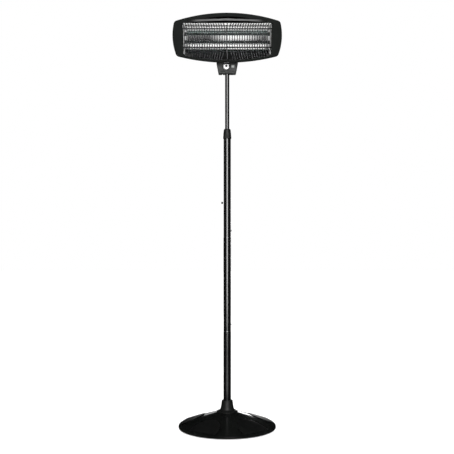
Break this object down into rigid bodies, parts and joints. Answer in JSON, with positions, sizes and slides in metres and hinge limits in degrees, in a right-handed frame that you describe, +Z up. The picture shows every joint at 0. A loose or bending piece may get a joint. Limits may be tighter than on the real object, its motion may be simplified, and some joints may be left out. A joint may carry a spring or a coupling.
{
  "type": "outdoor heater",
  "caption": "Free-standing quartz heater: weighted round base, telescopic post with twist collar, pull-cord switch and a wide tilting head with tubes behind a wire guard.",
  "frame": {"origin": "on the floor, on the axis of the post, in the middle of the round base", "axes": "+Z up along the post, -Y towards the front of the head where the heat goes, +X to the right seen from the front"},
  "size_m": [0.5186, 0.469, 1.9822],
  "materials": {
    "gloss_black": "smooth moulded gloss",
    "satin_black": "satin moulded",
    "painted_steel": "satin paint",
    "charcoal": "fine grained",
    "painted_tube": "semi-gloss powder coat",
    "bare_steel": "zinc plated",
    "chrome": "bright",
    "mirror_sheet": "mirror polished",
    "cast_iron": "as cast, painted",
    "rubber": "matte",
    "quartz": "clear",
    "heating_wire": "oxidised",
    "ceramic": "unglazed",
    "white_nylon": "matte"
  },
  "bodies": {
    "stand": {"base_cover": "gloss_black", "base_plate": "bare_steel", "base_weight": "cast_iron", "base_bolt": "bare_steel", "base_collar": "satin_black", "base_foot_1": "rubber", "base_foot_2": "rubber", "base_foot_3": "rubber", "base_foot_4": "rubber", "base_foot_5": "rubber", "post_socket": "bare_steel", "lower_tube": "painted_tube", "middle_tube": "painted_tube", "upper_tube": "painted_tube", "joint_sleeve_lower": "bare_steel", "joint_sleeve_upper": "bare_steel", "joint_screw_lower": "bare_steel", "joint_screw_upper": "bare_steel", "collet": "white_nylon"},
    "lock_collar": {"lock_collar": "satin_black"},
    "mast_guide": {"mast_guide": "white_nylon"},
    "mast": {"mast_tube": "painted_tube", "bracket_front": "charcoal", "bracket_rear": "charcoal", "clamp_plate": "chrome", "clamp_bolt": "bare_steel", "bracket_screw_left": "bare_steel", "bracket_screw_right": "bare_steel", "switch_body": "satin_black", "cord_bush": "satin_black"},
    "tilt_knob": {"tilt_knob": "satin_black"},
    "pull_switch": {"pull_cord": "white_nylon", "cord_bead": "satin_black", "switch_plunger": "white_nylon"},
    "head": {"front_bezel": "charcoal", "rear_housing": "painted_steel", "guard": "chrome", "reflector": "mirror_sheet", "reflector_end_left": "mirror_sheet", "reflector_end_right": "mirror_sheet", "centre_support": "painted_steel", "tilt_barrel": "painted_steel", "terminal_block": "ceramic", "cable_gland": "satin_black", "quartz_tube_1": "quartz", "heating_coil_1": "heating_wire", "ceramic_cap_left_1": "ceramic", "ceramic_cap_right_1": "ceramic", "quartz_tube_2": "quartz", "heating_coil_2": "heating_wire", "ceramic_cap_left_2": "ceramic", "ceramic_cap_right_2": "ceramic", "quartz_tube_3": "quartz", "heating_coil_3": "heating_wire", "ceramic_cap_left_3": "ceramic", "ceramic_cap_right_3": "ceramic", "housing_screw_left_lower": "bare_steel", "housing_screw_left_upper": "bare_steel", "housing_screw_right_lower": "bare_steel", "housing_screw_right_upper": "bare_steel"}
  },
  "joints": [
    {"name": "collar_twist", "type": "hinge", "parent": "stand", "child": "lock_collar", "pos_m": [0, 0, 1.42], "axis": [0, 0, 1], "range_deg": [0, 90]},
    {"name": "mast_height", "type": "slide", "parent": "stand", "child": "mast_guide", "axis": [0, 0, 1], "range_m": [-0.24, 0.1]},
    {"name": "mast_swivel", "type": "hinge", "parent": "mast_guide", "child": "mast", "pos_m": [0, 0, 1.245], "axis": [0, 0, 1], "range_deg": [-180, 180]},
    {"name": "knob_turn", "type": "hinge", "parent": "mast", "child": "tilt_knob", "pos_m": [-0.0043, 0.035, 1.7445], "axis": [0, 1, 0], "range_deg": [0, 270]},
    {"name": "cord_pull", "type": "slide", "parent": "mast", "child": "pull_switch", "axis": [0, 0, -1], "range_m": [0, 0.008], "stiffness_N_per_m": 300},
    {"name": "head_tilt", "type": "hinge", "parent": "mast", "child": "head", "pos_m": [0, 0.004, 1.77], "axis": [1, 0, 0], "range_deg": [-13, 22]}
  ]
}
